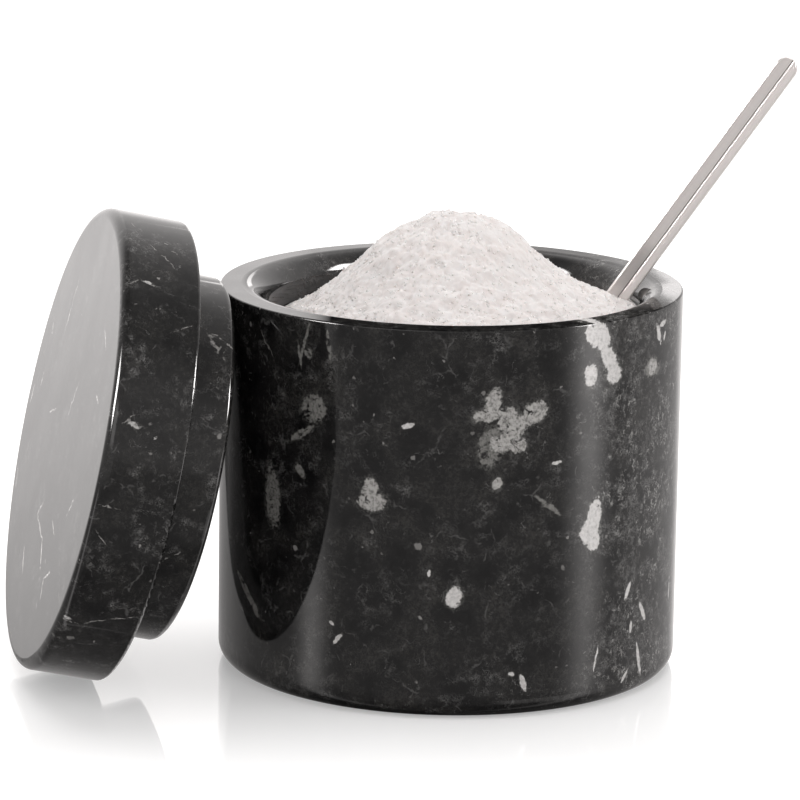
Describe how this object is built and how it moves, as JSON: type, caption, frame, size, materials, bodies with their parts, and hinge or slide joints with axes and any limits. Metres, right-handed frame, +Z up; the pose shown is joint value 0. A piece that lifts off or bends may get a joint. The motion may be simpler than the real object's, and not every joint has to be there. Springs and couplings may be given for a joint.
{
  "type": "salt cellar",
  "caption": "Round polished stone salt cellar heaped with salt, its plugged lid leaning on the side and a slim steel spoon standing in the heap.",
  "frame": {"origin": "centre of the pot's flat base, on the surface that it stands on", "axes": "+Z up along the pot's axis, -Y towards the viewer, the lid leans on the -X side and the spoon points to +X"},
  "size_m": [0.1526, 0.105, 0.1179],
  "materials": {
    "marble": "polished",
    "steel": "satin",
    "salt": "granular"
  },
  "bodies": {
    "pot": {"pot": "marble", "salt": "salt"},
    "lid": {"lid": "marble"},
    "spoon": {"spoon": "steel"}
  },
  "joints": [
    {"name": "lid_tip", "type": "hinge", "parent": "pot", "child": "lid", "pos_m": [-0.08008, -0.01908, 0.003], "axis": [0.2317, -0.9728, 0], "range_deg": [0, 102.4]},
    {"name": "spoon_lift", "type": "slide", "parent": "pot", "child": "spoon", "axis": [0.309, 0, 0.9511], "range_m": [0, 0.06]}
  ]
}
